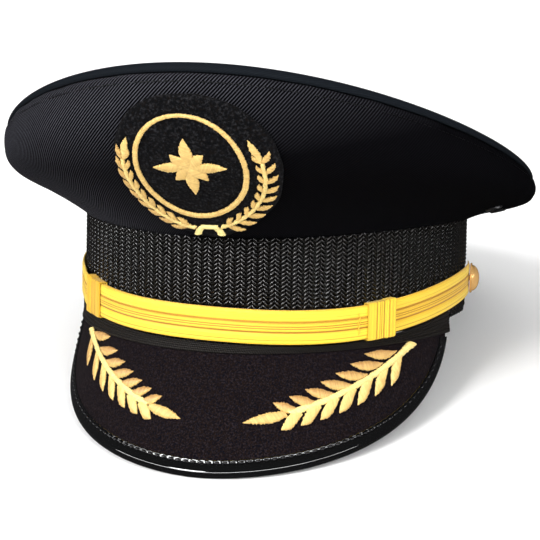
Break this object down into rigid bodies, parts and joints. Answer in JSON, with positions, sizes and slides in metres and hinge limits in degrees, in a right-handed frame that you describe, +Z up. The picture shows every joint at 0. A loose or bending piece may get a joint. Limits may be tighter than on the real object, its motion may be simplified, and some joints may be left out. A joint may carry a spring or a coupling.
{
  "type": "peaked uniform cap",
  "caption": "Wide-crowned peaked uniform cap with ribbed band, gold chin strap, branch embroidery on a steep peak and a round badge on the front.",
  "frame": {"origin": "the floor under the middle of the resting cap's outline", "axes": "+Z up from the floor, the peak points to -Y, and left in a name is -X, as someone in front of the cap sees it"},
  "size_m": [0.247, 0.2762, 0.1717],
  "materials": {
    "crown_cloth": "matte bluish-black diagonal twill",
    "band_webbing": "black webbing woven in upright chevron columns, slight sheen",
    "ribbed_braid": "black braid with lengthwise ribs",
    "peak_felt": "matte brownish-black felt",
    "patent_leather": "glossy black patent binding",
    "gold_braid": "bright yellow-gold braid with fine lengthwise ribs",
    "gold_thread": "pale gold satin stitching with a soft sheen",
    "badge_felt": "thick soft black felt",
    "gilt_metal": "polished gilt",
    "blacked_metal": "black enamelled, worn bright at the edge"
  },
  "bodies": {
    "root": {"crown_side": "crown_cloth", "crown_top": "crown_cloth", "band": "band_webbing", "peak_trim": "ribbed_braid", "peak": "peak_felt", "peak_rim": "patent_leather", "strap_inner": "gold_braid", "strap_outer": "gold_braid", "keeper_left": "gold_braid", "keeper_right": "gold_braid", "button_left": "gilt_metal", "button_right": "gilt_metal", "eyelet_left_front": "blacked_metal", "eyelet_left_back": "blacked_metal", "eyelet_right_front": "blacked_metal", "eyelet_right_back": "blacked_metal", "peak_branch_left": "gold_thread", "peak_branch_right": "gold_thread", "badge_patch": "badge_felt", "badge_ring": "gold_thread", "badge_star": "gold_thread", "badge_wreath_left": "gold_thread", "badge_wreath_right": "gold_thread", "badge_bow": "gold_thread"}
  },
  "joints": []
}
